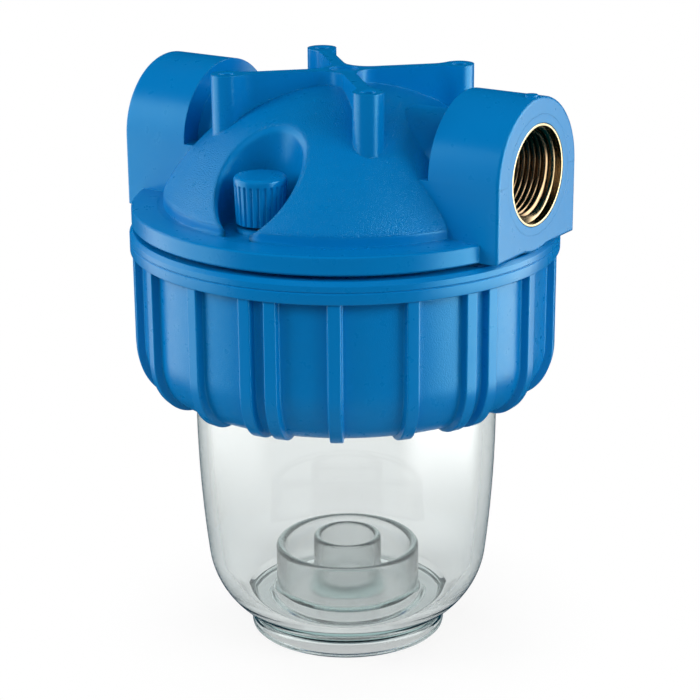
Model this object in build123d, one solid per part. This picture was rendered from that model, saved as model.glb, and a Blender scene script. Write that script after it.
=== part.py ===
from build123d import *
import math
import os

# Three-piece water filter housing for a 5-inch cartridge, in millimetres.
# Origin at the middle of the foot's underside, +Z up, the two ports along X, the vent at the front (-Y).

# Bowl, from the foot up
bowl_height = 101.4
bowl_radius = 47.9
bowl_wall = 4.0
bowl_side_top = 75.0
bowl_side_curve = 409.0
bowl_hip_height = 26.5
bowl_hip_curve = 27.0
bowl_floor_top = 12.4
foot_radius = 31.5
foot_edge = 0.9
foot_recess_radius = 26.0
foot_recess_depth = 5.0
collar_radius = 58.2
collar_thickness = 7.4

# Cartridge seat and centring tube in the bowl
seat_radius = 23.3
seat_wall = 2.8
seat_height = 15.6
tube_radius = 11.0
tube_wall = 2.2
tube_height = 17.9
tube_flare = 1.0
tube_flare_height = 5.0
tube_bore_floor = 3.0

# Main seal in the collar's upper face
seal_gap = 0.6
seal_inner_radius = 53.6
seal_width = 3.4
seal_depth = 2.8

# Slip ring between the nut's shoulder and the collar
slip_thickness = 1.0
slip_inner_radius = 50.0
slip_outer_radius = 57.6

# Ring nut
nut_radius = 67.0
nut_gap = 1.5
nut_bore_clearance = 0.4
nut_pocket_clearance = 0.6
nut_bowl_clearance = 1.2
nut_pocket_drop = 2.0
nut_pocket_step = 1.5
nut_lip_thickness = 9.9
nut_band_height = 6.8
nut_band_chamfer = 1.2
nut_groove_drop = 3.3
nut_groove_depth = 0.3
nut_panel_radius = 63.7
nut_rib_height = 2.6
nut_rib_width = 3.9
nut_rib_drop = 0.6
nut_turn_height = 17.0
nut_turn_inset = 12.0
nut_rib_pitch = 20.0
nut_pair_half_angle = 3.5
nut_pair_angle = 41.0

# Head: skirt and flange
skirt_length = 34.7
skirt_inner_radius = 52.6
skirt_root_radius = 58.9
skirt_land_radius = 60.9
skirt_land_height = 7.5
skirt_edge = 0.8
flange_radius = 66.2
flange_thickness = 5.7
flange_edge = 0.5

# Head: dome and shell
head_height = 46.6
dome_radius = 63.8
dome_foot_radius = 56.2
dome_foot_curve = 4.0
dome_below_cross = 3.9
shell_wall = 4.6

# Head: ports along X
port_span = 136.0
port_block_length = 23.5
port_half_width = 23.1
port_axis_height = 22.1
port_edge = 0.9
neck_radius = 16.0
water_bore_radius = 8.0
water_tube_wall = 2.4
insert_jacket = 3.4
seat_plate_radius = 24.0
seat_plate_thickness = 2.4
seat_lip_radius = 21.9
seat_lip_height = 1.2
seat_lip_width = 1.4
pip_radius = 1.9
pip_height = 0.5
pip_inset = 2.8

# Head: screw bosses and their X of ribs
boss_spacing = 51.2
boss_radius = 4.65
boss_web = 4.0
boss_web_fillet = 9.0
cross_middle_fillet = 8.0
pilot_radius = 2.1
pilot_depth = 12.0
pilot_mouth = 0.4
dimple_radius = 4.6
dimple_depth = 0.8

# Brass bushes for G 3/4
insert_radius = 15.3
insert_length = 20.0
insert_bore_radius = 12.1
insert_mouth_radius = 14.4
insert_mouth_depth = 2.3
insert_chamfer = 1.1
insert_groove_depth = 1.0
insert_groove_width = 2.2
insert_groove_place = 11.0
insert_seal_stand = 0.5

# Vent in its pocket at the front
vent_place = 44.2
pocket_radius = 12.6
pocket_wall = 2.2
pocket_lip = 1.4
pocket_floor = 3.2
vent_collar_radius = 7.3
vent_collar_height = 1.5
vent_column_radius = 9.2
vent_column_drop = 6.0
vent_hole_radius = 3.3
vent_seat_depth = 9.4
bleed_radius = 1.2
knob_radius = 7.9
knob_height = 14.2
knob_gap = 1.1
knob_taper = 0.5
knob_edge = 1.2
knob_flutes = 24
knob_flute_radius = 0.45
knob_flute_start = 2.2
stem_radius = 3.0
stem_pin_radius = 1.5
stem_pin_length = 1.5
stem_in_knob = 9.0
vent_seal_height = 1.8
vent_seal_play = 0.1

# How far joined solids run into each other, and cuts run past a face
overlap = 1.0
fit_tolerance = 0.01

# Levels and places worked out from the sizes above
skirt_end_z = bowl_height + seal_gap
flange_under_z = skirt_end_z + skirt_length
flange_top_z = flange_under_z + flange_thickness
port_axis_z = flange_under_z + port_axis_height
head_top_z = flange_under_z + head_height
dome_centre_z = head_top_z - dome_below_cross - dome_radius
shoulder_z = bowl_height - collar_thickness - slip_thickness
nut_under_z = shoulder_z - nut_lip_thickness
nut_top_z = flange_under_z - nut_gap
nut_bore_radius = skirt_land_radius + nut_bore_clearance
nut_pocket_radius = collar_radius + nut_pocket_clearance
nut_opening_radius = bowl_radius + nut_bowl_clearance
port_face_x = port_span / 2
block_inner_x = port_face_x - port_block_length
insert_inner_x = port_face_x - insert_length
cartridge_seat_z = port_axis_z - water_bore_radius - water_tube_wall
vent_top_z = flange_top_z + vent_collar_height
vent_seat_z = vent_top_z - vent_seat_depth
knob_under_z = vent_top_z + knob_gap
nut_rib_radius = nut_panel_radius + nut_rib_height
bowl_side_lean = math.asin((bowl_side_top - bowl_hip_height) / bowl_side_curve)
bowl_hip_radius = bowl_radius - bowl_side_curve * (1 - math.cos(bowl_side_lean))


def turned(*edges):
    """A solid of revolution about Z from a closed outline in the XZ plane."""
    return revolve(make_face(Wire(edges)), Axis.Z)


def outline(*points):
    """Straight edges through (radius, level) points."""
    return Polyline(*[(radius, 0, level) for radius, level in points]).edges()


def arc(centre, radius, start, end):
    """An arc in the XZ plane between two angles, in degrees from +X."""
    middle = (start + end) / 2
    points = [
        (centre[0] + radius * math.cos(math.radians(a)), 0, centre[1] + radius * math.sin(math.radians(a)))
        for a in (start, middle, end)
    ]
    return ThreePointArc(*points).edge()


def rod_z(radius, low, high, y=0):
    """An upright cylinder between two levels."""
    return Pos(0, y, low) * extrude(Circle(radius), high - low)


def rod_x(radius, x_from, x_to):
    """A cylinder on the ports' axis between two places along X."""
    start = Plane(origin=(x_from, 0, port_axis_z), x_dir=(0, 1, 0), z_dir=(1, 0, 0))
    return extrude(start * Circle(radius), x_to - x_from)


def hip_line(offset, low_radius=None, low_level=None):
    """The bowl's curved hip, moved inwards by offset: centre, radius and its lower angle and point."""
    centre_r = bowl_hip_radius - bowl_hip_curve * math.cos(bowl_side_lean)
    centre_z = bowl_hip_height + bowl_hip_curve * math.sin(bowl_side_lean)
    radius = bowl_hip_curve - offset
    if low_level is None:
        reach = low_radius - centre_r
        drop = math.sqrt(radius**2 - reach**2)
    else:
        drop = centre_z - low_level
        reach = math.sqrt(radius**2 - drop**2)
    low_angle = -math.degrees(math.atan2(drop, reach))
    return (centre_r, centre_z), radius, low_angle, (centre_r + reach, centre_z - drop)


def make_bowl():
    """Clear bowl: turned wall with collar, foot, cartridge seat and centring tube, in one moulding."""
    centre, hip, foot_angle, foot_joint = hip_line(0, low_radius=foot_radius)
    _, inner_hip, floor_angle, floor_joint = hip_line(bowl_wall, low_level=bowl_floor_top)
    lean = math.degrees(bowl_side_lean)
    side_centre = (bowl_radius - bowl_side_curve, bowl_side_top)
    inner_top = bowl_radius - bowl_wall
    collar_under = bowl_height - collar_thickness
    edges = [
        *outline(
            (0, foot_recess_depth),
            (foot_recess_radius - 1, foot_recess_depth),
            (foot_recess_radius, 0),
            (foot_radius - foot_edge, 0),
        ),
        arc((foot_radius - foot_edge, foot_edge), foot_edge, -90, 0),
        *outline((foot_radius, foot_edge), foot_joint),
        arc(centre, hip, foot_angle, -lean),
        arc(side_centre, bowl_side_curve, -lean, 0),
        *outline(
            (bowl_radius, bowl_side_top),
            (bowl_radius, collar_under),
            (collar_radius, collar_under),
            (collar_radius, bowl_height),
            (seal_inner_radius + seal_width, bowl_height),
            (seal_inner_radius + seal_width, bowl_height - seal_depth),
            (seal_inner_radius, bowl_height - seal_depth),
            (seal_inner_radius, bowl_height),
            (inner_top, bowl_height),
            (inner_top, bowl_side_top),
        ),
        arc(side_centre, bowl_side_curve - bowl_wall, 0, -lean),
        arc(centre, inner_hip, -lean, floor_angle),
        *outline(floor_joint, (0, bowl_floor_top), (0, foot_recess_depth)),
    ]
    return turned(*edges) + make_seat() + make_tube()


def make_seat():
    """The ring on the bowl's floor that the cartridge's end stands on."""
    top = bowl_floor_top + seat_height
    edge = seat_wall / 2
    return turned(
        *outline(
            (seat_radius, top - edge),
            (seat_radius, bowl_floor_top),
            (seat_radius - seat_wall, bowl_floor_top),
            (seat_radius - seat_wall, top - edge),
        ),
        arc((seat_radius - edge, top - edge), edge, 180, 0),
    )


def make_tube():
    """The short tube that centres the cartridge."""
    top = bowl_floor_top + tube_height
    inner = tube_radius - tube_wall
    edge = tube_wall / 2
    bore_floor = bowl_floor_top + tube_bore_floor
    return turned(
        *outline(
            (tube_radius, top - edge),
            (tube_radius, bowl_floor_top + tube_flare_height),
            (tube_radius + tube_flare, bowl_floor_top),
            (0, bowl_floor_top),
            (0, bore_floor),
            (inner, bore_floor),
            (inner, top - edge),
        ),
        arc((inner + edge, top - edge), edge, 180, 0),
    )


def make_bowl_oring():
    """Main seal, squeezed flat between the groove's floor and the skirt's end."""
    low = bowl_height - seal_depth
    height = skirt_end_z - low
    section = Pos(seal_inner_radius + seal_width / 2, (low + skirt_end_z) / 2)
    face = Plane.XZ * section * RectangleRounded(seal_width, height, min(seal_width, height) / 3)
    return revolve(face, Axis.Z)


def make_slip_ring():
    """Thin washer that lets the nut turn under the collar."""
    ring = Circle(slip_outer_radius) - Circle(slip_inner_radius)
    return Pos(0, 0, shoulder_z) * extrude(ring, slip_thickness)


def nut_side(radius, drop):
    """Outer side of the nut at a radius: straight, then a quarter ellipse in to its underside."""
    middle = Plane.XZ * Pos(radius - nut_turn_inset, nut_under_z - drop + nut_turn_height)
    quarter = EllipticalCenterArc((0, 0), nut_turn_inset, nut_turn_height, start_angle=270, arc_size=90)
    return (middle * quarter).edge()


def make_nut_body():
    """The nut without its ribs: rim band, recessed wall, shoulder for the collar and opening for the bowl."""
    band_low = nut_top_z - nut_band_height
    pocket_top = bowl_height - nut_pocket_drop
    groove = nut_top_z - nut_groove_drop
    return turned(
        nut_side(nut_panel_radius, 0),
        *outline(
            (nut_panel_radius, nut_under_z + nut_turn_height),
            (nut_panel_radius, band_low),
            (nut_radius, band_low),
            (nut_radius, groove - nut_groove_depth),
            (nut_radius - nut_groove_depth, groove),
            (nut_radius, groove + nut_groove_depth),
            (nut_radius, nut_top_z - nut_band_chamfer),
            (nut_radius - nut_band_chamfer, nut_top_z),
            (nut_bore_radius, nut_top_z),
            (nut_bore_radius, pocket_top + nut_pocket_step),
            (nut_pocket_radius, pocket_top),
            (nut_pocket_radius, shoulder_z),
            (nut_opening_radius, shoulder_z),
            (nut_opening_radius, nut_under_z),
            (nut_panel_radius - nut_turn_inset, nut_under_z),
        ),
    )


def rib_angles():
    """Angles of the grip ribs: every third place holds a pair."""
    places = round(360 / nut_rib_pitch)
    for place in range(places):
        middle = nut_pair_angle + place * 360 / places
        if place % 3 == 0:
            yield middle - nut_pair_half_angle
            yield middle + nut_pair_half_angle
        else:
            yield middle


def make_ring_nut():
    """Ribbed ring nut. The ribs follow its side down and round to the underside."""
    under = nut_under_z - nut_rib_drop
    back = nut_rib_radius - nut_turn_inset
    rib_top = nut_top_z - nut_band_height + nut_band_chamfer
    root = (nut_panel_radius + nut_bore_radius) / 2
    section = make_face(
        Wire(
            [
                nut_side(nut_rib_radius, nut_rib_drop),
                *outline(
                    (nut_rib_radius, under + nut_turn_height),
                    (nut_rib_radius, rib_top),
                    (root, rib_top),
                    (root, under + nut_turn_height),
                    (back, under + nut_turn_height / 3),
                    (back, under),
                ),
            ]
        )
    )
    rib = extrude(section, nut_rib_width / 2, both=True)
    nut = make_nut_body()
    return nut + [Rot(0, 0, angle) * rib for angle in rib_angles()]


def dome_edge(inset):
    """Centre of the dome's rounded edge and the angle at which it meets the ball, moved inwards by inset."""
    reach = dome_foot_radius - inset - dome_foot_curve
    rise = math.sqrt((dome_radius - inset - dome_foot_curve) ** 2 - reach**2)
    return (reach, dome_centre_z + rise), math.degrees(math.atan2(rise, reach))


def dome_solid(inset, low):
    """The dome, moved inwards by inset, above a level: ball, rounded edge and upright foot."""
    ball = dome_radius - inset
    foot = dome_foot_radius - inset
    edge, turn = dome_edge(inset)
    return turned(
        *outline((0, dome_centre_z + ball), (0, low), (foot, low), (foot, edge[1])),
        arc(edge, dome_foot_curve, 0, turn),
        arc((0, dome_centre_z), ball, turn, 90),
    )


def make_dome():
    """The outside of the dome with the vent's pocket and the lip round the pocket's mouth."""
    low = flange_under_z
    low_angle = math.degrees(math.asin((low - dome_centre_z) / dome_radius))
    low_reach = dome_radius * math.cos(math.radians(low_angle))
    dome = turned(
        *outline((0, dome_centre_z + dome_radius), (0, low), (low_reach, low)),
        arc((0, dome_centre_z), dome_radius, low_angle, 90),
    )
    dome -= rod_z(pocket_radius, flange_top_z, head_top_z, -vent_place)
    mouth = [edge for edge in dome.edges() if on_pocket_mouth(edge.position_at(0.5))]
    return chamfer(mouth, pocket_lip) - dome_waste(low)


def on_pocket_mouth(point):
    """Whether a point lies on the curve where the vent's pocket meets the ball."""
    from_ball = math.hypot(point.X, point.Y, point.Z - dome_centre_z) - dome_radius
    from_pocket = math.hypot(point.X, point.Y + vent_place) - pocket_radius
    return abs(from_ball) < fit_tolerance and abs(from_pocket) < fit_tolerance


def dome_waste(low):
    """What lies outside the dome's upright foot and rounded edge, up to where the edge meets the ball."""
    edge, turn = dome_edge(0)
    across = math.cos(math.radians(turn))
    up = math.sin(math.radians(turn))
    far = dome_radius + dome_foot_curve
    top = dome_centre_z + far * up
    under = low - overlap
    joint = (dome_radius * across, dome_centre_z + dome_radius * up)
    return turned(
        *outline((far, under), (dome_foot_radius, under), (dome_foot_radius, edge[1])),
        arc(edge, dome_foot_curve, 0, turn),
        *outline(joint, (far * across, top), (far, top), (far, under)),
    )


def port_block(side):
    """D-shaped port block with soft edges round its outer face."""
    height = port_axis_height
    shape = Pos(0, -height / 2) * Rectangle(2 * port_half_width, height) + Circle(port_half_width)
    start = Plane(origin=(side * block_inner_x, 0, port_axis_z), x_dir=(0, side, 0), z_dir=(side, 0, 0))
    block = extrude(start * shape, port_block_length)
    face = block.faces().sort_by(Axis.X)[-1 if side > 0 else 0]
    return fillet(face.edges(), port_edge)


def boss_distance(point):
    """How far a point stands from the axis of the boss in its corner, seen from above."""
    return math.hypot(abs(point.X) - boss_spacing / 2, abs(point.Y) - boss_spacing / 2)


def make_cross():
    """X of ribs with a screw boss at each end, down to the inside of the dome's wall."""
    reach = boss_spacing / 2
    arm = Rectangle(2 * reach * math.sqrt(2), boss_web)
    plan = Rot(0, 0, 45) * arm + Rot(0, 0, -45) * arm
    plan += [Pos(x, y) * Circle(boss_radius) for x in (-reach, reach) for y in (-reach, reach)]
    middle = [v for v in plan.vertices() if math.hypot(v.X, v.Y) < boss_web]
    plan = fillet(middle, cross_middle_fillet)
    at_boss = [v for v in plan.vertices() if abs(boss_distance(v) - boss_radius) < fit_tolerance]
    plan = fillet(at_boss, boss_web_fillet)
    low = flange_top_z
    cross = Pos(0, 0, low) * extrude(plan, head_top_z - low)
    return cross - dome_solid(shell_wall / 2, flange_under_z)


def make_head_outside():
    """Everything of the head that is seen: skirt, flange, dome, ports, necks and cross."""
    skirt = turned(
        *outline(
            (0, skirt_end_z),
            (skirt_root_radius - skirt_edge, skirt_end_z),
            (skirt_root_radius, skirt_end_z + skirt_edge),
            (skirt_root_radius, flange_under_z - skirt_land_height),
            (skirt_land_radius, flange_under_z - skirt_land_height),
            (skirt_land_radius, flange_under_z),
            (flange_radius - flange_edge, flange_under_z),
            (flange_radius, flange_under_z + flange_edge),
            (flange_radius, flange_top_z - flange_edge),
            (flange_radius - flange_edge, flange_top_z),
            (0, flange_top_z),
            (0, skirt_end_z),
        )
    )
    waist = Pos(0, 0, flange_under_z + port_axis_height / 2) * Box(
        2 * (block_inner_x + overlap), 2 * port_half_width, port_axis_height
    )
    head = skirt + make_dome() + waist + rod_x(neck_radius, -block_inner_x, block_inner_x)
    head = head + port_block(1) + port_block(-1) + make_cross()
    pip_low = port_axis_z + port_half_width - overlap
    return head + Pos(port_face_x - pip_inset, 0, pip_low) * extrude(Circle(pip_radius), overlap + pip_height)


def make_chamber():
    """The water space inside the head, open at the skirt's end."""
    floor = flange_under_z - overlap
    space = rod_z(skirt_inner_radius, skirt_end_z - overlap, flange_under_z) + dome_solid(shell_wall, floor)
    jacket = insert_radius + insert_jacket
    column_low = flange_under_z - vent_column_drop
    kept = [
        rod_x(jacket, insert_inner_x - insert_jacket, port_face_x),
        rod_x(jacket, -port_face_x, -insert_inner_x + insert_jacket),
        rod_z(pocket_radius + pocket_wall, flange_top_z - pocket_floor, head_top_z, -vent_place),
        rod_z(vent_column_radius, column_low, head_top_z, -vent_place),
        rod_x(water_bore_radius + water_tube_wall, 0, insert_inner_x),
        rod_z(water_bore_radius + water_tube_wall, cartridge_seat_z, port_axis_z),
        Pos(0, 0, port_axis_z) * Sphere(water_bore_radius + water_tube_wall),
        rod_z(seat_plate_radius, cartridge_seat_z, cartridge_seat_z + seat_plate_thickness),
        make_seat_lip(),
    ]
    return space - kept


def make_seat_lip():
    """Knife edge under the outlet's plate, which presses into the cartridge's end."""
    return turned(
        *outline(
            (seat_lip_radius - seat_lip_width, cartridge_seat_z),
            (seat_lip_radius, cartridge_seat_z - seat_lip_height),
            (seat_lip_radius + seat_lip_width, cartridge_seat_z),
            (seat_lip_radius - seat_lip_width, cartridge_seat_z),
        )
    )


def make_head():
    """Blue head moulding with its chamber, water ways, pocket, pilot holes and the seats of its bushes."""
    head = make_head_outside() - make_chamber()
    outlet = rod_x(water_bore_radius, 0, port_face_x) + Pos(0, 0, port_axis_z) * Sphere(water_bore_radius)
    outlet += rod_z(water_bore_radius, cartridge_seat_z, port_axis_z)
    chamber_reach = math.sqrt((dome_radius - shell_wall) ** 2 - (port_axis_z - dome_centre_z) ** 2)
    inlet_end = min(chamber_reach, insert_inner_x - insert_jacket) - overlap
    inlet = rod_x(water_bore_radius, -port_face_x, -inlet_end)
    pocket = rod_z(pocket_radius, flange_top_z, head_top_z, -vent_place)
    head = head - outlet - inlet - (pocket - rod_z(vent_collar_radius, flange_top_z, vent_top_z, -vent_place))
    head += rod_z(vent_collar_radius, flange_top_z - overlap, vent_top_z, -vent_place)
    head -= rod_z(vent_hole_radius, vent_seat_z, vent_top_z, -vent_place)
    head -= rod_z(bleed_radius, flange_under_z - vent_column_drop, vent_seat_z, -vent_place)
    head -= make_pilots()
    for side in (-1, 1):
        head = head - insert_envelope(side) - make_insert_oring(side)
    return head


def make_pilots():
    """Pilot holes for the bracket screws, and the dimple in the middle of the X."""
    low = head_top_z - pilot_depth
    hole = turned(
        *outline(
            (0, low - pilot_radius / 2),
            (pilot_radius, low),
            (pilot_radius, head_top_z - pilot_mouth),
            (pilot_radius + pilot_mouth, head_top_z),
            (0, head_top_z),
            (0, low - pilot_radius / 2),
        )
    )
    reach = boss_spacing / 2
    holes = [Pos(x, y, 0) * hole for x in (-reach, reach) for y in (-reach, reach)]
    return holes + [rod_z(dimple_radius, head_top_z - dimple_depth, head_top_z)]


def on_port(side):
    """Plane whose Z runs out through a port's face, with its origin on the face."""
    return Plane(origin=(side * port_face_x, 0, port_axis_z), x_dir=(0, side, 0), z_dir=(side, 0, 0))


def insert_envelope(side):
    """The hole that a bush fills in the port block."""
    return on_port(side) * Pos(0, 0, -insert_length) * extrude(Circle(insert_radius), insert_length)


def make_insert(side):
    """Brass bush: thin lip, smooth mouth, chamfer and the bore that carries the thread."""
    groove = insert_radius - insert_groove_depth
    groove_in = -insert_groove_place - insert_groove_width / 2
    bore_start = -insert_mouth_depth - insert_chamfer
    bush = turned(
        *outline(
            (insert_mouth_radius, 0),
            (insert_mouth_radius, -insert_mouth_depth),
            (insert_bore_radius + insert_chamfer, -insert_mouth_depth),
            (insert_bore_radius, bore_start),
            (insert_bore_radius, -insert_length),
            (insert_radius, -insert_length),
            (insert_radius, groove_in),
            (groove, groove_in),
            (groove, groove_in + insert_groove_width),
            (insert_radius, groove_in + insert_groove_width),
            (insert_radius, 0),
            (insert_mouth_radius, 0),
        )
    )
    return on_port(side) * bush


def make_insert_oring(side):
    """O-ring in a bush's groove, bedded in the moulding round it."""
    height = insert_groove_depth + insert_seal_stand
    groove = insert_radius - insert_groove_depth
    corner = min(height, insert_groove_width) / 3
    place = Pos(groove + height / 2, -insert_groove_place)
    face = Plane.XZ * place * RectangleRounded(height, insert_groove_width, corner)
    return on_port(side) * revolve(face, Axis.Z)


def make_vent_knob():
    """Fluted knob with a blind socket for the stem."""
    top = knob_under_z + knob_height
    body = turned(
        *outline(
            (0, knob_under_z),
            (knob_radius - knob_taper, knob_under_z),
            (knob_radius, top - knob_edge),
        ),
        arc((knob_radius - knob_edge, top - knob_edge), knob_edge, 0, 90),
        *outline((knob_radius - knob_edge, top), (0, top), (0, knob_under_z)),
    )
    flute_top = top - knob_flute_start
    flute = Pos(knob_radius, 0, knob_under_z) * extrude(Circle(knob_flute_radius), flute_top - knob_under_z)
    knob = body - [Rot(0, 0, i * 360 / knob_flutes) * flute for i in range(knob_flutes)]
    knob -= rod_z(stem_radius, knob_under_z, knob_under_z + stem_in_knob)
    return Pos(0, -vent_place, 0) * knob


def make_vent_stem():
    """Vent screw's stem, with a pin that carries its O-ring."""
    shoulder = vent_seat_z + vent_seal_height
    return Pos(0, -vent_place, 0) * turned(
        *outline(
            (0, shoulder - stem_pin_length),
            (stem_pin_radius, shoulder - stem_pin_length),
            (stem_pin_radius, shoulder),
            (stem_radius, shoulder),
            (stem_radius, knob_under_z + stem_in_knob),
            (0, knob_under_z + stem_in_knob),
            (0, shoulder - stem_pin_length),
        )
    )


def make_vent_oring():
    """Small seal squeezed between the stem's shoulder and the bleed seat."""
    inner = stem_pin_radius + vent_seal_play
    width = stem_radius - inner
    corner = min(width, vent_seal_height) / 3
    place = Pos(inner + width / 2, vent_seat_z + vent_seal_height / 2)
    face = Plane.XZ * place * RectangleRounded(width, vent_seal_height, corner)
    return Pos(0, -vent_place, 0) * revolve(face, Axis.Z)


def main():
    os.makedirs("parts", exist_ok=True)
    parts = {
        "head": make_head(),
        "inlet_insert": make_insert(-1),
        "outlet_insert": make_insert(1),
        "inlet_insert_oring": make_insert_oring(-1),
        "outlet_insert_oring": make_insert_oring(1),
        "bowl": make_bowl(),
        "bowl_oring": make_bowl_oring(),
        "slip_ring": make_slip_ring(),
        "ring_nut": make_ring_nut(),
        "vent_knob": make_vent_knob(),
        "vent_stem": make_vent_stem(),
        "vent_oring": make_vent_oring(),
    }
    for name, shape in parts.items():
        export_step(shape, f"parts/{name}.step")


main()
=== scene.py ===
import math

import bmesh
import bpy
import numpy as np
from mathutils import Matrix, Vector


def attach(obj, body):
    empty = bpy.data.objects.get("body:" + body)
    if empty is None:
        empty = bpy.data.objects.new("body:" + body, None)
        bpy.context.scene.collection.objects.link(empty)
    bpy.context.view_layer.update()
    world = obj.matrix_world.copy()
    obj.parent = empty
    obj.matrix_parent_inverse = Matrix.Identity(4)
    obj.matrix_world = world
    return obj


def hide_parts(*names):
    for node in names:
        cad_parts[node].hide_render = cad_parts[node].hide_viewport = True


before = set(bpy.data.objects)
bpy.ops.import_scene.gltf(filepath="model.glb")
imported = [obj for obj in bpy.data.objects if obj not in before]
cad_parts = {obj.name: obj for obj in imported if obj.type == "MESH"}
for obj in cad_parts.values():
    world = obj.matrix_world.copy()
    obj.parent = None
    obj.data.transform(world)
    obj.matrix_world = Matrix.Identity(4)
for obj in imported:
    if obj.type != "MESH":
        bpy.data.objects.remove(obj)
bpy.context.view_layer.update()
mm = 0.001


# Studio: a pale table in front of white, seen through a long lens at the photograph's angle.
# Two tall diffusers left and right draw the light bands down the plastic, and dark cloth on every side
# keeps its front deep. They are seen in reflections only; the lamps light everything evenly.
scene = bpy.context.scene
scene.view_settings.view_transform = "Standard"

camera_target = Vector((1.07, 0.71, 92.86)) * mm
camera_distance = 677.5 * mm
camera_azimuth = math.radians(33.78)
camera_pitch = math.radians(18.46)
camera_roll = math.radians(-0.40)
camera_lens = 109.5
camera_sensor = 36.0

turn = (
    Matrix.Rotation(camera_azimuth, 4, "Z")
    @ Matrix.Rotation(math.pi / 2 - camera_pitch, 4, "X")
    @ Matrix.Rotation(camera_roll, 4, "Z")
)
camera = bpy.data.objects.new("camera", bpy.data.cameras.new("camera"))
camera.data.lens = camera_lens
camera.data.sensor_width = camera_sensor
back_off = Matrix.Translation((0, 0, camera_distance))
camera.matrix_world = Matrix.Translation(camera_target) @ turn @ back_off
scene.collection.objects.link(camera)
scene.camera = camera
lens_side = math.atan2(-math.cos(camera_azimuth), math.sin(camera_azimuth))


def linear(colour):
    """Turns an sRGB hex colour to linear RGBA."""
    channels = np.array([int(colour[i:i + 2], 16) for i in (1, 3, 5)]) / 255
    curve = np.where(channels <= 0.04045, channels / 12.92, ((channels + 0.055) / 1.055) ** 2.4)
    return (*curve.tolist(), 1.0)


def node(tree, kind, values=None, **settings):
    """Adds a shader node. Settings are its own properties, and values fill or feed its sockets."""
    made = tree.nodes.new("ShaderNode" + kind)
    for name, value in settings.items():
        setattr(made, name, value)
    for socket, value in (values or {}).items():
        if isinstance(value, bpy.types.NodeSocket):
            tree.links.new(value, made.inputs[socket])
        else:
            made.inputs[socket].default_value = value
    return made


def new_material(name):
    """An empty node material and its tree."""
    material = bpy.data.materials.new(name)
    material.use_nodes = True
    material.node_tree.nodes.clear()
    return material, material.node_tree


def grid_mesh(name, points, closed_u=False, closed_v=False, solid=True):
    """A smooth mesh over a grid of points, rows along u and columns along v, each joined round if closed.

    Points that coincide, as at a pole, become one, and a solid's faces are turned outwards.
    """
    rows, columns = points.shape[:2]
    index = np.arange(rows * columns).reshape(rows, columns)
    if closed_u:
        index = np.vstack([index, index[:1]])
    if closed_v:
        index = np.hstack([index, index[:, :1]])
    quads = np.stack([index[:-1, :-1], index[:-1, 1:], index[1:, 1:], index[1:, :-1]], -1).reshape(-1, 4)
    mesh = bpy.data.meshes.new(name)
    mesh.from_pydata(points.reshape(-1, 3).tolist(), [], quads.tolist())
    if solid:
        shape = bmesh.new()
        shape.from_mesh(mesh)
        bmesh.ops.remove_doubles(shape, verts=shape.verts, dist=0.0005 * mm)
        bmesh.ops.recalc_face_normals(shape, faces=shape.faces)
        shape.to_mesh(mesh)
        shape.free()
    mesh.shade_smooth()
    piece = bpy.data.objects.new(name, mesh)
    scene.collection.objects.link(piece)
    return piece


def studio_piece(piece, seen_by, material):
    """Makes a piece part of the studio, seen only by the kinds of ray named."""
    for ray in ("camera", "diffuse", "glossy", "transmission", "shadow", "volume_scatter"):
        setattr(piece, "visible_" + ray, ray in seen_by)
    piece.data.materials.append(material)


def wall_round(name, radius, start, end, low, high, seen_by, material):
    """Part of an upright cylinder round the table: start and end are degrees right of the lens."""
    around = lens_side + np.radians(np.linspace(start, end, 49))
    around, up = np.meshgrid(around, np.array([low, high]))
    points = np.stack([radius * np.cos(around), radius * np.sin(around), up], -1)
    studio_piece(grid_mesh(name, points, solid=False), seen_by, material)


def disc_points(radius, level, rings, spokes, crowding=1.0):
    """A flat disc in polar rings: radius grows as a power of the ring's share."""
    out = np.linspace(0, 1, rings) ** crowding * radius
    out, around = np.meshgrid(out, np.linspace(0, 2 * math.pi, spokes, endpoint=False), indexing="ij")
    return np.stack([out * np.cos(around), out * np.sin(around), np.full_like(out, level)], -1)


def diffuser(name, start, end, strength):
    """A tall curved diffuser, from start to end degrees right of the lens, which fades out to its edges.

    Its brightness is strength, times a smooth step up from its foot, times one in from its sides. The
    second runs on the cosine of the angle from its middle.
    """
    material, tree = new_material(name)
    place = node(tree, "TexCoord").outputs["Object"]
    half = math.radians(end - start) / 2
    middle = lens_side + math.radians(start + end) / 2
    facing = (math.cos(middle) / diffuser_distance, math.sin(middle) / diffuser_distance, 0.0)
    turned_in = node(tree, "VectorMath", {0: place, 1: facing}, operation="DOT_PRODUCT").outputs["Value"]
    sides = node(
        tree,
        "MapRange",
        {
            "Value": turned_in,
            "From Min": math.cos(half),
            "From Max": math.cos(half * diffuser_even_share),
            "To Max": strength,
        },
        interpolation_type="SMOOTHSTEP",
    )
    foot = node(
        tree,
        "MapRange",
        {
            "Value": node(tree, "SeparateXYZ", {0: place}).outputs["Z"],
            "From Min": diffuser_low,
            "From Max": diffuser_full,
        },
        interpolation_type="SMOOTHSTEP",
    )
    sides, foot = sides.outputs["Result"], foot.outputs["Result"]
    glow = node(tree, "Math", {0: sides, 1: foot}, operation="MULTIPLY")
    lit = node(tree, "Emission", {"Color": linear("#FFFFFF"), "Strength": glow.outputs[0]})
    node(tree, "OutputMaterial", {"Surface": lit.outputs[0]})
    material.cycles.emission_sampling = "NONE"
    wall_round(name, diffuser_distance, start, end, diffuser_low, diffuser_high, ("glossy",), material)


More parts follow.
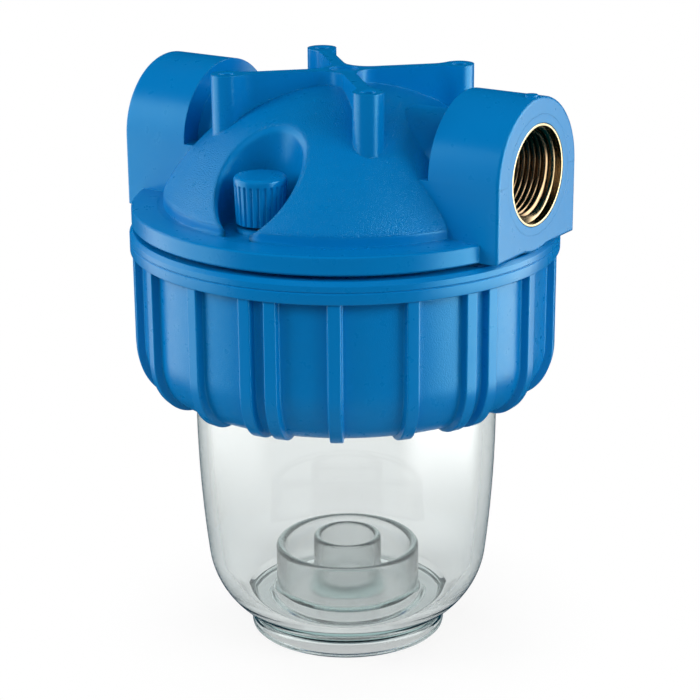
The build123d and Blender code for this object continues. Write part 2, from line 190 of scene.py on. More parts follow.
ambient = 0.16
world = bpy.data.worlds.new("studio_white")
scene.world = world
world.use_nodes = True
tree = world.node_tree
tree.nodes.clear()
path = node(tree, "LightPath").outputs
seen = node(tree, "Math", {0: path["Is Camera Ray"], 1: path["Is Glossy Ray"]}, operation="MAXIMUM")
seen = node(tree, "Math", {0: seen.outputs[0], 1: path["Is Transmission Ray"]}, operation="MAXIMUM")
level = node(tree, "MapRange", {"Value": seen.outputs[0], "To Min": ambient, "To Max": 1.0})
sky = node(tree, "Background", {"Color": linear("#FFFFFF"), "Strength": level.outputs["Result"]})
node(tree, "OutputWorld", {"Surface": sky.outputs[0]})

diffuser_distance = 0.9
diffuser_low = -0.4
diffuser_full = -0.16
diffuser_high = 0.75
diffuser_even_share = 0.45
diffuser("left_diffuser", start=-134, end=-56, strength=2.8)
diffuser("right_diffuser", start=38, end=122, strength=6.8)

cloth_distance = 1.1
cloth_low = -0.9
cloth_high = 0.95
# The cloth is no lit cloth but a faint teal glow, seen only in reflections: it gives the blue plastic a
# teal reflection where a white one would wash it out.
dark_cloth, tree = new_material("dark_cloth")
lit = node(tree, "Emission", {"Color": linear("#003A4E"), "Strength": 1.0})
node(tree, "OutputMaterial", {"Surface": lit.outputs[0]})
dark_cloth.cycles.emission_sampling = "NONE"
wall_round("room_cloth", cloth_distance, -180, 180, cloth_low, cloth_high, ("glossy",), dark_cloth)
for name, height in (("ceiling_cloth", cloth_high), ("floor_cloth", cloth_low)):
    sheet = grid_mesh(name, disc_points(cloth_distance, height, 3, 48), closed_v=True, solid=False)
    studio_piece(sheet, ("glossy",), dark_cloth)


def lamp(name, side, height, distance, radiance):
    """A square lamp of even radiance, side degrees right of the lens and aimed at the housing."""
    light = bpy.data.lights.new(name, "AREA")
    light.shape = "SQUARE"
    light.size = lamp_size
    light.energy = radiance * lamp_size * lamp_size * math.pi
    lamp_object = bpy.data.objects.new(name, light)
    around = lens_side + math.radians(side)
    place = Vector((distance * math.cos(around), distance * math.sin(around), height))
    aim = (camera_target - place).to_track_quat("-Z", "Y")
    lamp_object.matrix_world = Matrix.Translation(place) @ aim.to_matrix().to_4x4()
    lamp_object.visible_glossy = False
    lamp_object.visible_transmission = False
    scene.collection.objects.link(lamp_object)


lamp_size = 0.5
lamp("lamp_left", side=-80, height=0.5, distance=0.9, radiance=8.5)
lamp("lamp_front_left", side=-20, height=0.9, distance=0.9, radiance=2.9)
lamp("lamp_front_right", side=25, height=0.9, distance=0.9, radiance=2.8)
lamp("lamp_right", side=60, height=0.5, distance=0.9, radiance=6.4)
lamp("lamp_back_left", side=-145, height=0.5, distance=1.0, radiance=5.0)
lamp("lamp_back_right", side=140, height=0.5, distance=1.0, radiance=5.0)

# The table is white in front of the lens, with a soft shadow near the foot. That shadow is partly the real
# one and partly painted shade, where less of the white glow is mixed in. Through the bowl it shows painted
# light and
# shade: half lit underneath, and dim further out with a painted shadow that lightens towards the table's
# edge.
# From below it can't be seen.
table_radius = 0.26
table_drop = 0.02 * mm
shadow_inner = 0.028
shadow_outer = 0.09
shadow_level = 0.84
under_bowl_radius = 0.04
# Painted light and shade through the bowl: how much white glow shows under the bowl, and from just outside
# the foot out to the table's edge.
under_bowl_painted_light = 0.5
through_bowl_painted_shade = 0.05
through_bowl_painted_light = 0.4
table_points = disc_points(table_radius, -table_drop, 25, 96, crowding=1.5)
table = grid_mesh("table", table_points, closed_v=True, solid=False)
pale_table, tree = new_material("pale_table")
paint = node(tree, "BsdfDiffuse", {"Color": linear("#F2F2F0")})
white = node(tree, "Emission", {"Color": linear("#FFFFFF"), "Strength": 1.0})
place = node(tree, "TexCoord").outputs["Object"]
from_middle = node(tree, "VectorMath", {0: place}, operation="LENGTH").outputs["Value"]
# Partly painted shade: near the foot more of the lit paint and less of the white glow is seen, so it is
# darker there even where no shadow falls.
fade = node(
    tree,
    "MapRange",
    {"Value": from_middle, "From Min": shadow_inner, "From Max": shadow_outer, "To Min": shadow_level},
    interpolation_type="SMOOTHSTEP",
)
# Painted light and shade seen through the bowl: little white glow just outside the foot, more further out,
# and half under the bowl.
shaded = node(
    tree,
    "MapRange",
    {
        "Value": from_middle,
        "From Min": under_bowl_radius,
        "From Max": table_radius,
        "To Min": through_bowl_painted_shade,
        "To Max": through_bowl_painted_light,
    },
    interpolation_type="SMOOTHSTEP",
)
path = node(tree, "LightPath").outputs
seen = node(tree, "Math", {0: path["Is Camera Ray"], 1: fade.outputs["Result"]}, operation="MULTIPLY")
under = node(tree, "Math", {0: from_middle, 1: under_bowl_radius}, operation="LESS_THAN").outputs[0]
under = node(tree, "Math", {0: under, 1: under_bowl_painted_light}, operation="MULTIPLY").outputs[0]
shaded = node(tree, "Math", {0: shaded.outputs["Result"], 1: under}, operation="MAXIMUM")
through = node(tree, "Math", {0: path["Is Transmission Ray"], 1: shaded.outputs[0]}, operation="MULTIPLY")
share = node(tree, "Math", {0: seen.outputs[0], 1: through.outputs[0]}, operation="MAXIMUM")
mixed = node(tree, "MixShader", {"Fac": share.outputs[0], 1: paint.outputs[0], 2: white.outputs[0]})
from_above = node(tree, "NewGeometry").outputs["Backfacing"]
unseen = node(tree, "BsdfTransparent")
one_sided = node(tree, "MixShader", {"Fac": from_above, 1: unseen.outputs[0], 2: mixed.outputs[0]})
node(tree, "OutputMaterial", {"Surface": one_sided.outputs[0]})
pale_table.cycles.emission_sampling = "NONE"
studio_piece(table, ("camera", "diffuse", "transmission", "shadow"), pale_table)


# Bowl: one clear styrene acrylonitrile moulding, with the collar that the nut lifts, the foot, and
# on its floor the ring that a cartridge stands on and the tube that centres it.
def dress(piece, material):
    """Gives a piece one material."""
    piece.data.materials.clear()
    piece.data.materials.append(material)
    return piece


def arc(centre, radii, start, end, steps):
    """Points (radius, level) on a circle or ellipse between two angles, in degrees from outwards."""
    across, up = radii if isinstance(radii, tuple) else (radii, radii)
    turns = np.radians(np.linspace(start, end, steps))
    return np.stack([centre[0] + across * np.cos(turns), centre[1] + up * np.sin(turns)], -1)


def soft_line(points, radius, steps=4, support=0.12):
    """A path through (radius, level) points whose corners become tangent arcs.

    Each corner is cut back along both sides by radius * tan(turn / 2). A point a little before and
    after each arc keeps the flat beside it flat under smooth shading.
    """
    points = [np.array(point, float) for point in points]
    path = [points[0]]
    for before, corner, after in zip(points, points[1:], points[2:]):
        into = (corner - before) / np.linalg.norm(corner - before)
        out = (after - corner) / np.linalg.norm(after - corner)
        half = math.acos(max(-1.0, min(1.0, float(into @ out)))) / 2
        room = 0.42 * min(np.linalg.norm(corner - before), np.linalg.norm(after - corner))
        back = min(radius * math.tan(half), room)
        start, end = corner - back * into, corner + back * out
        share = np.linspace(0, 1, steps)[:, None]
        bend = (1 - share) ** 2 * start + 2 * share * (1 - share) * corner + share**2 * end
        reach = min(support, room - back + 1e-4)
        path += [start - reach * into, *bend, end + reach * out]
    path.append(points[-1])
    return np.array(path)


def turned(name, profile, columns, middle=(0.0, 0.0), closed=False):
    """A turned solid in millimetres: (r, z) becomes (x + r cos a, y + r sin a, z) round an upright line."""
    around = np.linspace(0, 2 * math.pi, columns, endpoint=False)
    radius, level = profile[:, 0, None], profile[:, 1, None]
    points = np.stack(
        [middle[0] + radius * np.cos(around), middle[1] + radius * np.sin(around), level + 0 * around], -1
    )
    return grid_mesh(name, points * mm, closed_u=closed, closed_v=True)


bowl_height = 101.4
bowl_radius = 47.9
bowl_wall = 4.0
bowl_side_top = 75.0
bowl_side_curve = 409.0
bowl_hip_height = 26.5
bowl_hip_curve = 27.0
bowl_floor = 12.4
foot_radius = 31.5
foot_recess_radius = 26.0
foot_recess_depth = 5.0
collar_radius = 58.2
collar_under = bowl_height - 7.4
seal_inner_radius = 53.6
seal_outer_radius = 57.0
seal_depth = 2.8
seat_radius = 23.3
seat_wall = 2.8
seat_top = bowl_floor + 15.6
tube_radius = 11.0
tube_wall = 2.2
tube_top = bowl_floor + 17.9
tube_bore_floor = bowl_floor + 3.0

side_lean = math.asin((bowl_side_top - bowl_hip_height) / bowl_side_curve)
side_centre = (bowl_radius - bowl_side_curve, bowl_side_top)
hip_radius = bowl_radius - bowl_side_curve * (1 - math.cos(side_lean))
hip_centre = (
    hip_radius - bowl_hip_curve * math.cos(side_lean),
    bowl_hip_height + bowl_hip_curve * math.sin(side_lean),
)
lean = math.degrees(side_lean)
outer_low = math.degrees(math.acos((foot_radius - hip_centre[0]) / bowl_hip_curve))
inner_hip = bowl_hip_curve - bowl_wall
inner_low = math.degrees(math.asin((hip_centre[1] - bowl_floor) / inner_hip))
foot_top = hip_centre[1] - bowl_hip_curve * math.sin(math.radians(outer_low))
floor_edge = hip_centre[0] + inner_hip * math.cos(math.radians(inner_low))
bowl_inner = bowl_radius - bowl_wall
seat_mid = seat_radius - seat_wall / 2
tube_mid = tube_radius - tube_wall / 2

bowl_profile = np.vstack([
    soft_line(
        [
            (0, foot_recess_depth),
            (foot_recess_radius - 1, foot_recess_depth),
            (foot_recess_radius, 0),
            (foot_radius, 0),
            (foot_radius, foot_top),
        ],
        0.8,
    ),
    arc(hip_centre, bowl_hip_curve, -outer_low, -lean, 30),
    arc(side_centre, bowl_side_curve, -lean, 0, 14)[1:],
    soft_line(
        [
            (bowl_radius, bowl_side_top + 3),
            (bowl_radius, collar_under),
            (collar_radius, collar_under),
            (collar_radius, bowl_height),
            (seal_outer_radius, bowl_height),
            (seal_outer_radius, bowl_height - seal_depth),
            (seal_inner_radius, bowl_height - seal_depth),
            (seal_inner_radius, bowl_height),
            (bowl_inner, bowl_height),
            (bowl_inner, bowl_side_top + 3),
        ],
        0.3,
    ),
    arc(side_centre, bowl_side_curve - bowl_wall, 0, -lean, 14),
    arc(hip_centre, inner_hip, -lean, -inner_low + 8, 24)[1:],
    soft_line(
        [
            arc(hip_centre, inner_hip, -inner_low + 8, -inner_low, 2)[0],
            (floor_edge, bowl_floor),
            (seat_radius, bowl_floor),
            (seat_radius, seat_top - seat_wall / 2),
        ],
        1.2,
    )[1:],
    arc((seat_mid, seat_top - seat_wall / 2), seat_wall / 2, 0, 180, 13)[1:],
    soft_line(
        [
            (seat_radius - seat_wall, seat_top - seat_wall / 2 - 0.3),
            (seat_radius - seat_wall, bowl_floor),
            (tube_radius + 1.2, bowl_floor),
            (tube_radius, bowl_floor + 5.0),
            (tube_radius, tube_top - tube_wall / 2),
        ],
        1.0,
    ),
    arc((tube_mid, tube_top - tube_wall / 2), tube_wall / 2, 0, 180, 11)[1:],
    soft_line(
        [
            (tube_radius - tube_wall, tube_top - tube_wall / 2 - 0.3),
            (tube_radius - tube_wall, tube_bore_floor),
            (0, tube_bore_floor),
        ],
        0.8,
    ),
])
clear_bowl = turned("clear_bowl", bowl_profile, 256)

# Styrene from a polished mould is clear and colourless, and grey-green where it is thick. The ring and
# tube come off a matt core, which makes them a little hazy.
seat_roughness = 0.2
clear_styrene, tree = new_material("clear_styrene")
place = node(tree, "TexCoord").outputs["Object"]
spot = node(tree, "SeparateXYZ", {0: place}).outputs
across = node(tree, "CombineXYZ", {"X": spot["X"], "Y": spot["Y"], "Z": 0.0})
out = node(tree, "VectorMath", {0: across.outputs[0]}, operation="LENGTH").outputs["Value"]
inside = node(tree, "Math", {0: out, 1: (seat_radius + 0.3) * mm}, operation="LESS_THAN").outputs[0]
over_floor = (bowl_floor + 0.4) * mm
above = node(tree, "Math", {0: spot["Z"], 1: over_floor}, operation="GREATER_THAN").outputs[0]
matt = node(tree, "Math", {0: inside, 1: above}, operation="MULTIPLY").outputs[0]
rough = node(tree, "Math", {0: matt, 1: seat_roughness}, operation="MULTIPLY").outputs[0]
shader = node(
    tree,
    "BsdfPrincipled",
    {"Base Color": linear("#FFFFFF"), "Roughness": rough, "IOR": 1.57, "Transmission Weight": 1.0},
)
tint = node(tree, "VolumeAbsorption", {"Color": (0.72, 0.83, 0.82, 1.0), "Density": 48.0})
node(tree, "OutputMaterial", {"Surface": shader.outputs[0], "Volume": tint.outputs[0]})
dress(clear_bowl, clear_styrene)
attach(clear_bowl, "bowl")
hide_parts("bowl")


# Main seal, vent seal and the bushes' seals: black nitrile O-rings, pressed into their grooves.
# The finish is dull, with fine dust marks.
nitrile_rubber, tree = new_material("nitrile_rubber")
place = node(tree, "TexCoord").outputs["Object"]
dust = node(tree, "TexNoise", {"Vector": place, "Scale": 1 / (1.4 * mm), "Detail": 3.0})
rough = node(tree, "MapRange", {"Value": dust.outputs["Fac"], "To Min": 0.45, "To Max": 0.65}).outputs[0]
shader = node(tree, "BsdfPrincipled", {"Base Color": linear("#151515"), "Roughness": rough})
node(tree, "OutputMaterial", {"Surface": shader.outputs[0]})
for name in ("inlet_insert_oring", "outlet_insert_oring", "bowl_oring", "vent_oring"):
    dress(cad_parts[name], nitrile_rubber)


# Slip ring: a washer cut from white acetal, smooth and slightly dull. It lies loose between the nut's
# shoulder and the bowl's collar, so that the nut turns without dragging the bowl round.
white_acetal, tree = new_material("white_acetal")
place = node(tree, "TexCoord").outputs["Object"]
haze = node(tree, "TexNoise", {"Vector": place, "Scale": 1 / (2.5 * mm), "Detail": 2.0})
rough = node(tree, "MapRange", {"Value": haze.outputs["Fac"], "To Min": 0.35, "To Max": 0.5}).outputs[0]
shader = node(tree, "BsdfPrincipled", {"Base Color": linear("#E6E6E2"), "Roughness": rough})
node(tree, "OutputMaterial", {"Surface": shader.outputs[0]})
dress(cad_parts["slip_ring"], white_acetal)


# Head: one blue polypropylene moulding. The mould is spark-eroded over the dome, which leaves a fine
# grain there, and polished on the ports, flange and bosses. A coarse male thread runs round its skirt.
# Real eroded grain is about 0.1 mm across, and it is drawn coarser so that it shows.
grain_size = 0.34 * mm
dome_grain_height = 0.24 * mm
panel_grain_height = 0.06 * mm


def polypropylene(name, grain_mask=None, grain_height=0.0, marks=None, edge=None):
    """Blue polypropylene from the mould: waxy gloss, with corners eased where edge is given.

    grain_mask gives 1 where the mould was spark-eroded, and marks a height for its witness lines.
    """
    material, tree = new_material(name)
    place = node(tree, "TexCoord").outputs["Object"]
    flow = node(tree, "TexNoise", {"Vector": place, "Scale": 1 / (18 * mm), "Detail": 2.0})
    flow = flow.outputs["Fac"]
    colour = node(tree, "MixRGB", {"Fac": flow, 1: linear("#0073B8"), 2: linear("#0078BD")})
    wax = node(tree, "TexNoise", {"Vector": place, "Scale": 1 / (4 * mm), "Detail": 3.0})
    rough = node(tree, "MapRange", {"Value": wax.outputs["Fac"], "To Min": 0.24, "To Max": 0.34})
    normal = node(tree, "NewGeometry").outputs["Normal"]
    if edge:
        normal = node(tree, "Bevel", {"Radius": edge(tree, place)}, samples=4).outputs["Normal"]
    if grain_mask:
        grain = node(tree, "TexNoise", {"Vector": place, "Scale": 1 / grain_size, "Detail": 1.0})
        grain = grain.outputs["Fac"]
        height = node(tree, "Math", {0: grain, 1: grain_mask(tree, place)}, operation="MULTIPLY")
        normal = node(
            tree, "Bump", {"Height": height.outputs[0], "Distance": grain_height, "Normal": normal}
        ).outputs[0]
    if marks:
        normal = node(
            tree, "Bump", {"Height": marks(tree, place), "Distance": mark_depth, "Normal": normal}
        ).outputs[0]
    shader = node(
        tree,
        "BsdfPrincipled",
        {
            "Base Color": colour.outputs[0],
            "Roughness": rough.outputs["Result"],
            "IOR": 1.5,
            "Specular Tint": (0.4, 1.0, 0.92, 1.0),
            "Normal": normal,
        },
    )
    node(tree, "OutputMaterial", {"Surface": shader.outputs[0]})
    return material


dome_middle = Vector((0, 0, 115.6)) * mm
dome_radius = 63.8 * mm
port_level = 158.8 * mm
port_face = 68.0 * mm
ring_mark_radius = 17.9 * mm
mark_half_width = 0.14 * mm
mark_depth = 0.3 * mm
vent_middle = Vector((0, -44.2, 0)) * mm
pocket_reach = 17 * mm


def near(tree, value, target, reach):
    """1 where a value lies within reach of a target, else 0."""
    off = node(tree, "Math", {0: value, 1: target}, operation="SUBTRACT")
    off = node(tree, "Math", {0: off.outputs[0]}, operation="ABSOLUTE")
    return node(tree, "Math", {0: off.outputs[0], 1: reach}, operation="LESS_THAN").outputs[0]


def dome_grain(tree, place):
    """1 on the dome's ball: how far a point lies from the ball's surface."""
    away = node(tree, "VectorMath", {0: place, 1: dome_middle}, operation="DISTANCE")
    return near(tree, away.outputs["Value"], dome_radius, 0.3 * mm)


def port_marks(tree, place):
    """Lines that the mould's insert leaves on a port's face: a ring, and a line out from it each way."""
    flat = node(tree, "SeparateXYZ", {0: place}).outputs
    out = node(tree, "Math", {0: flat["X"]}, operation="ABSOLUTE").outputs[0]
    side = node(tree, "Math", {0: flat["Y"]}, operation="ABSOLUTE").outputs[0]
    rise = node(tree, "Math", {0: flat["Z"], 1: port_level}, operation="SUBTRACT").outputs[0]
    across = node(tree, "CombineXYZ", {"X": side, "Y": rise, "Z": 0.0})
    away = node(tree, "VectorMath", {0: across.outputs[0]}, operation="LENGTH").outputs["Value"]
    ring = near(tree, away, ring_mark_radius, mark_half_width)
    level = near(tree, rise, 0.0, mark_half_width)
    beyond = node(tree, "Math", {0: side, 1: ring_mark_radius}, operation="GREATER_THAN").outputs[0]
    line = node(tree, "Math", {0: level, 1: beyond}, operation="MULTIPLY").outputs[0]
    both = node(tree, "Math", {0: ring, 1: line}, operation="MAXIMUM").outputs[0]
    on_face = node(tree, "Math", {0: out, 1: port_face - 0.3 * mm}, operation="GREATER_THAN").outputs[0]
    deep = node(tree, "Math", {0: both, 1: on_face}, operation="MULTIPLY").outputs[0]
    return node(tree, "Math", {0: deep, 1: -1.0}, operation="MULTIPLY").outputs[0]


def head_edges(tree, place):
    """Edges are eased by 0.5 mm, and by 2 mm round the mouth of the vent's pocket."""
    flat = node(tree, "VectorMath", {0: place, 1: (1.0, 1.0, 0.0)}, operation="MULTIPLY")
    away = node(tree, "VectorMath", {0: flat.outputs[0], 1: vent_middle}, operation="DISTANCE")
    return node(
        tree,
        "MapRange",
        {
            "Value": away.outputs["Value"],
            "From Min": pocket_reach,
            "From Max": pocket_reach * 1.3,
            "To Min": 2.0 * mm,
            "To Max": 0.5 * mm,
        },
    ).outputs["Result"]


head_polypropylene = polypropylene(
    "polypropylene_head", dome_grain, dome_grain_height, marks=port_marks, edge=head_edges
)
dress(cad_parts["head"], head_polypropylene)


def thread_ridge(name, root, crest, low, turns, start):
    """A right-handed trapezoid ridge wound round the Z axis, from its root radius to its crest.

    A section turns with angle a and rises by pitch * a / 360. Its height and width fade over the first
    and last thirty degrees, down to a point.
    """
    angle = np.linspace(0, turns * 360, int(turns * 72) + 1)
    fade = np.clip(np.minimum(angle, angle[-1] - angle) / 30, 0, 1)
    fade = fade * fade * (3 - 2 * fade)
    height = crest - root
    section = np.array([
        (0.0, -thread_root_width), (0.15, -thread_root_width), (0.85, -thread_crest_width - 0.12),
        (1.0, -thread_crest_width + 0.12), (1.0, thread_crest_width - 0.12),
        (0.85, thread_crest_width + 0.12), (0.15, thread_root_width), (0.0, thread_root_width),
    ])
    radius = root + height * section[None, :, 0] * fade[:, None]
    level = low + thread_pitch * angle[:, None] / 360 + section[None, :, 1] * fade[:, None]
    around = np.radians(angle + start)[:, None]
    points = np.stack([radius * np.cos(around), radius * np.sin(around), level], -1)
    return grid_mesh(name, points * mm, closed_v=True)


thread_pitch = 6.0
thread_root_width = 1.5
thread_crest_width = 0.85
skirt_root = 58.7
skirt_crest = 61.0
thread_low = 104.5
thread_turns = 3.6
skirt_thread = thread_ridge("skirt_thread", skirt_root, skirt_crest, thread_low, thread_turns, 0)
dress(skirt_thread, head_polypropylene)
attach(skirt_thread, "head")


# Brass bushes: turned from bar, threaded G 3/4 and moulded into the ports. A bright lip and chamfer
# ring the mouth, and the thread's crests catch the light in a bore painted darker brown inwards, as painted
# shade.
bush_radius = 15.3
bush_length = 20.0
bush_mouth_radius = 14.4
bush_mouth_depth = 2.3
bush_chamfer = 1.1
thread_minor = 12.1
thread_depth = 1.12
gas_pitch = 1.814
groove_depth = 1.0
groove_width = 2.2
groove_place = 11.0


def make_bush(name, side):
    """A bush along X. Its bore's radius is minor + depth * (share of a rounded vee at each pitch).

    The vee's phase turns once round the bore for each pitch in, so the thread is right-handed.
    """
    port = (side * port_face / mm, port_level / mm)
    bore_start = bush_mouth_depth + bush_chamfer
    mouth = soft_line(
        [
            (bush_radius, groove_place - groove_width / 2),
            (bush_radius, 0.02),
            (bush_mouth_radius, 0.02),
            (bush_mouth_radius, bush_mouth_depth),
            (thread_minor + thread_depth + bush_chamfer, bush_mouth_depth),
            (thread_minor + thread_depth * 0.6, bore_start),
        ],
        0.22,
    )
    back = [
        (thread_minor, bush_length),
        (bush_radius, bush_length),
        (bush_radius, groove_place + groove_width / 2),
        (bush_radius - groove_depth, groove_place + groove_width / 2),
        (bush_radius - groove_depth, groove_place - groove_width / 2),
    ]
    depth = np.arange(bore_start + 0.2, bush_length - 0.6, gas_pitch / 10)
    bore = np.stack([np.full_like(depth, thread_minor), depth], -1)
    profile = np.vstack([mouth, bore, back])
    threaded = np.zeros(len(profile))
    threaded[len(mouth):len(mouth) + len(bore)] = np.clip((bush_length - 2.2 - depth) / 1.5, 0, 1)
    around = np.linspace(0, 2 * math.pi, 144, endpoint=False)
    phase = profile[:, 1, None] / gas_pitch + around / (2 * math.pi)
    vee = np.abs(2 * (phase - np.floor(phase)) - 1)
    vee = 1 - np.clip((1 - vee) * 1.25 - 0.125, 0, 1)
    radius = profile[:, 0, None] + thread_depth * threaded[:, None] * vee
    out = side * (port[0] * side - profile[:, 1, None])
    points = np.stack(
        [out + 0 * around, side * radius * np.cos(around), port[1] + radius * np.sin(around)], -1
    )
    return grid_mesh(name, points * mm, closed_u=True, closed_v=True)


turned_brass, tree = new_material("turned_brass")
place = node(tree, "TexCoord").outputs["Object"]
line_width = 0.12 * mm
line_length = 6 * mm
scale = (1 / line_width, 1 / line_length, 1 / line_length)
stretched = node(tree, "Mapping", {"Vector": place, "Scale": scale})
lines = node(tree, "TexNoise", {"Vector": stretched.outputs[0], "Scale": 1.0, "Detail": 2.0})
rough = node(tree, "MapRange", {"Value": lines.outputs["Fac"], "To Min": 0.16, "To Max": 0.32})
spot = node(tree, "SeparateXYZ", {0: place}).outputs
out = node(tree, "Math", {0: spot["X"]}, operation="ABSOLUTE").outputs[0]
# Painted shade: the brass is drawn darker brown from 0.6 mm to 4 mm inside the port's face.
depth = node(
    tree,
    "MapRange",
    {"Value": out, "From Min": port_face - 4.0 * mm, "From Max": port_face - 0.6 * mm},
).outputs["Result"]
colour = node(tree, "MixRGB", {"Fac": depth, 1: linear("#8A7459"), 2: linear("#B3A37F")})
shader = node(
    tree,
    "BsdfPrincipled",
    {"Base Color": colour.outputs[0], "Metallic": 1.0, "Roughness": rough.outputs["Result"]},
)
node(tree, "OutputMaterial", {"Surface": shader.outputs[0]})
for name, cad_node, side in (("outlet_bush", "outlet_insert", 1), ("inlet_bush", "inlet_insert", -1)):
    bush = dress(make_bush(name, side), turned_brass)
    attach(bush, "head")
    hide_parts(cad_node)
dress(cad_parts["vent_stem"], turned_brass)


# Ring nut: one blue polypropylene moulding. Its 24 grip ribs stand singly and in pairs on grained
# panels, run round to the underside and merge into the plain rim band above.
nut_radius = 67.0
nut_top = 135.2
nut_under = 83.1
nut_band_low = nut_top - 6.8
nut_groove = nut_top - 3.3
nut_bore_radius = 61.3
nut_pocket_radius = 58.8
nut_opening_radius = 49.1
nut_shoulder = 93.0
nut_pocket_top = 99.4
panel_radius = 63.7
turn_inset = 12.0
turn_height = 17.0
rib_height = 2.6
rib_drop = 0.6
rib_half_width = 1.95
rib_edge = 0.45
rib_draft = 0.1
rib_root = 0.5
rib_pitch = 20
pair_angle = 41
pair_half_angle = 3.5

half_section = np.vstack([
    [(0.0, rib_height), (0.7 * rib_half_width, rib_height)],
    arc((rib_half_width - rib_edge, rib_height - rib_edge), rib_edge, 90, 4, 5),
    arc((rib_half_width + rib_draft + rib_root, rib_root), rib_root, 180, 270, 6),
])
section = np.vstack([half_section[:0:-1] * (-1, 1), half_section])
rib_angles = []
for place_angle in range(pair_angle, pair_angle + 360, rib_pitch):
    paired = (place_angle - pair_angle) % 60 == 0
    apart = (-pair_half_angle, pair_half_angle) if paired else (0,)
    rib_angles += [place_angle + shift for shift in apart]

base_angle = []
side_shift = []
stand = []
for this, following in zip(rib_angles, rib_angles[1:] + [rib_angles[0] + 360]):
    base_angle += [this] * len(section)
    side_shift += section[:, 0].tolist()
    stand += (section[:, 1] / rib_height).tolist()
    between = np.linspace(0, 1, 3 if following - this < rib_pitch / 2 else 9)[1:-1]
    base_angle += (this + (following - this) * between).tolist()
    side_shift += (section[-1, 0] * (1 - 2 * between)).tolist()
    stand += [0.0] * len(between)

panel_levels = np.linspace(nut_band_low - 3, nut_under + turn_height + 2, 5)
panel = np.vstack([
    [(panel_radius, nut_band_low), (panel_radius, nut_band_low - 0.3)],
    np.stack([np.full(5, panel_radius), panel_levels], -1),
    arc((panel_radius - turn_inset, nut_under + turn_height), (turn_inset, turn_height), 0, -90, 24),
])
rim = soft_line(
    [
        (nut_opening_radius, nut_shoulder - 4),
        (nut_opening_radius, nut_shoulder),
        (nut_pocket_radius, nut_shoulder),
        (nut_pocket_radius, nut_pocket_top),
        (nut_bore_radius, nut_pocket_top + 1.5),
        (nut_bore_radius, nut_top),
        (nut_radius - 1.0, nut_top),
        (nut_radius, nut_top - 1.3),
        (nut_radius, nut_groove + 0.25),
        (nut_radius - 0.35, nut_groove),
        (nut_radius, nut_groove - 0.25),
        (nut_radius, nut_band_low),
        (panel_radius + rib_height + 0.1, nut_band_low),
    ],
    0.35,
)
opening = soft_line(
    [
        (panel_radius - turn_inset - 0.9, nut_under),
        (nut_opening_radius, nut_under),
        (nut_opening_radius, nut_shoulder - 4),
    ],
    0.5,
)
profile = np.vstack([rim, panel, opening[:-1]])
ribbed = np.concatenate([np.zeros(len(rim)), np.ones(len(panel)), np.zeros(len(opening) - 1)])
dropped = ribbed * (profile[:, 1] < nut_under + turn_height + 1)
stand = np.array(stand)
radius = profile[:, 0, None] + rib_height * ribbed[:, None] * stand
level = profile[:, 1, None] - rib_drop * dropped[:, None] * stand
around = np.radians(base_angle) + np.array(side_shift) / radius
nut_points = np.stack([radius * np.cos(around), radius * np.sin(around), level], -1)
ribbed_nut = grid_mesh("ribbed_nut", nut_points * mm, closed_u=True, closed_v=True)


def panel_grain(tree, place):
    """1 on the panels between the ribs: how far a point lies from the nut's axis."""
    flat = node(tree, "VectorMath", {0: place, 1: (1.0, 1.0, 0.0)}, operation="MULTIPLY")
    out = node(tree, "VectorMath", {0: flat.outputs[0]}, operation="LENGTH")
    edge = (panel_radius + 0.2) * mm
    return node(tree, "Math", {0: out.outputs["Value"], 1: edge}, operation="LESS_THAN").outputs[0]


nut_polypropylene = polypropylene("polypropylene_nut", panel_grain, panel_grain_height)
dress(ribbed_nut, nut_polypropylene)
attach(ribbed_nut, "nut")
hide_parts("ring_nut")

nut_thread_crest = 59.2
nut_thread_low = thread_low + thread_pitch / 2
nut_thread = thread_ridge(
    "nut_thread", nut_bore_radius + 0.2, nut_thread_crest, nut_thread_low, thread_turns, 0
)
dress(nut_thread, nut_polypropylene)
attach(nut_thread, "nut")


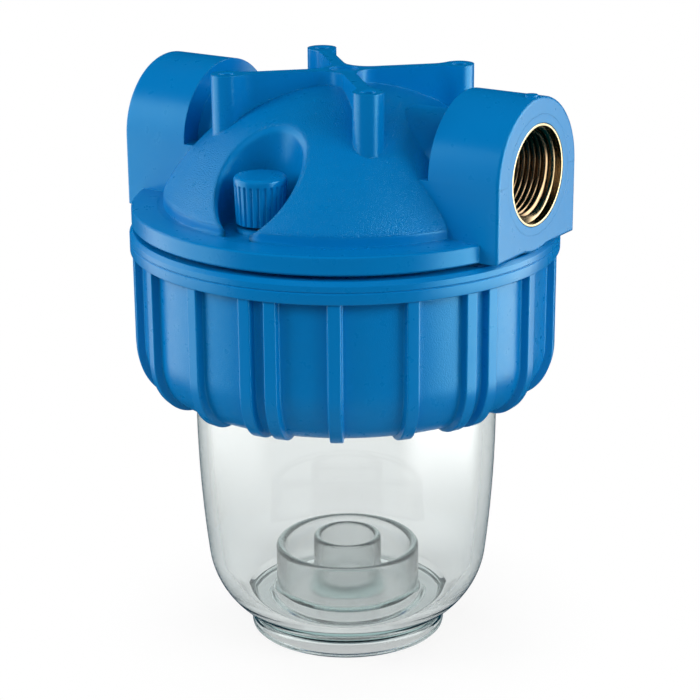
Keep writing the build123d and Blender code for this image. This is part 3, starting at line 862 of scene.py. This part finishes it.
# Vent knob: one blue polypropylene moulding, with 24 fine flutes below a smooth rounded cap. It is
# pressed on the brass screw that closes the bleed hole.
vent_place = -44.2
knob_low = 145.0
knob_top = 159.2
knob_radius = 7.9
knob_foot_radius = 7.4
knob_edge = 1.2
knob_socket = 3.0
knob_socket_top = 154.0
flute_radius = 0.45
flute_count = 24
flute_top = knob_top - 2.2

knob_profile = np.vstack([
    soft_line(
        [
            (0, knob_socket_top),
            (knob_socket, knob_socket_top),
            (knob_socket, knob_low),
            (knob_foot_radius, knob_low),
            (knob_foot_radius + 0.05, knob_low + 1.5),
        ],
        0.3,
    ),
    np.stack([
        np.linspace(knob_foot_radius + 0.08, knob_radius - 0.1, 9),
        np.linspace(knob_low + 2.2, flute_top - 0.8, 9),
    ], -1),
    [
        (knob_radius - 0.05, flute_top - 0.4),
        (knob_radius - 0.03, flute_top),
        (knob_radius, flute_top + 0.25),
    ],
    arc((knob_radius - knob_edge, knob_top - knob_edge), knob_edge, 0, 90, 9),
    [
        (knob_radius - knob_edge - 0.6, knob_top),
        (knob_radius * 0.5, knob_top - 0.05),
        (0, knob_top - 0.05),
    ],
])
knob_turn = np.linspace(0, 2 * math.pi, flute_count * 14, endpoint=False)
flute_step = 2 * math.pi / flute_count
from_flute = (knob_turn + flute_step / 2) % flute_step - flute_step / 2
lateral = np.clip(np.abs(from_flute) * knob_radius / flute_radius, 0, 1)
flute_depth = flute_radius * np.sqrt(1 - lateral**2)
on_side = (knob_profile[:, 0] > knob_foot_radius - 0.1) & (knob_profile[:, 1] < flute_top + 0.1)
fluted = on_side * np.clip((flute_top - knob_profile[:, 1]) / 0.4, 0, 1)
radius = knob_profile[:, 0, None] - fluted[:, None] * flute_depth
level = knob_profile[:, 1, None] + 0 * knob_turn
knob_points = np.stack(
    [radius * np.cos(knob_turn), vent_place + radius * np.sin(knob_turn), level], -1
)
fluted_knob = grid_mesh("fluted_knob", knob_points * mm, closed_v=True)
dress(fluted_knob, polypropylene("polypropylene_knob"))
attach(fluted_knob, "vent_screw")
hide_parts("vent_knob")
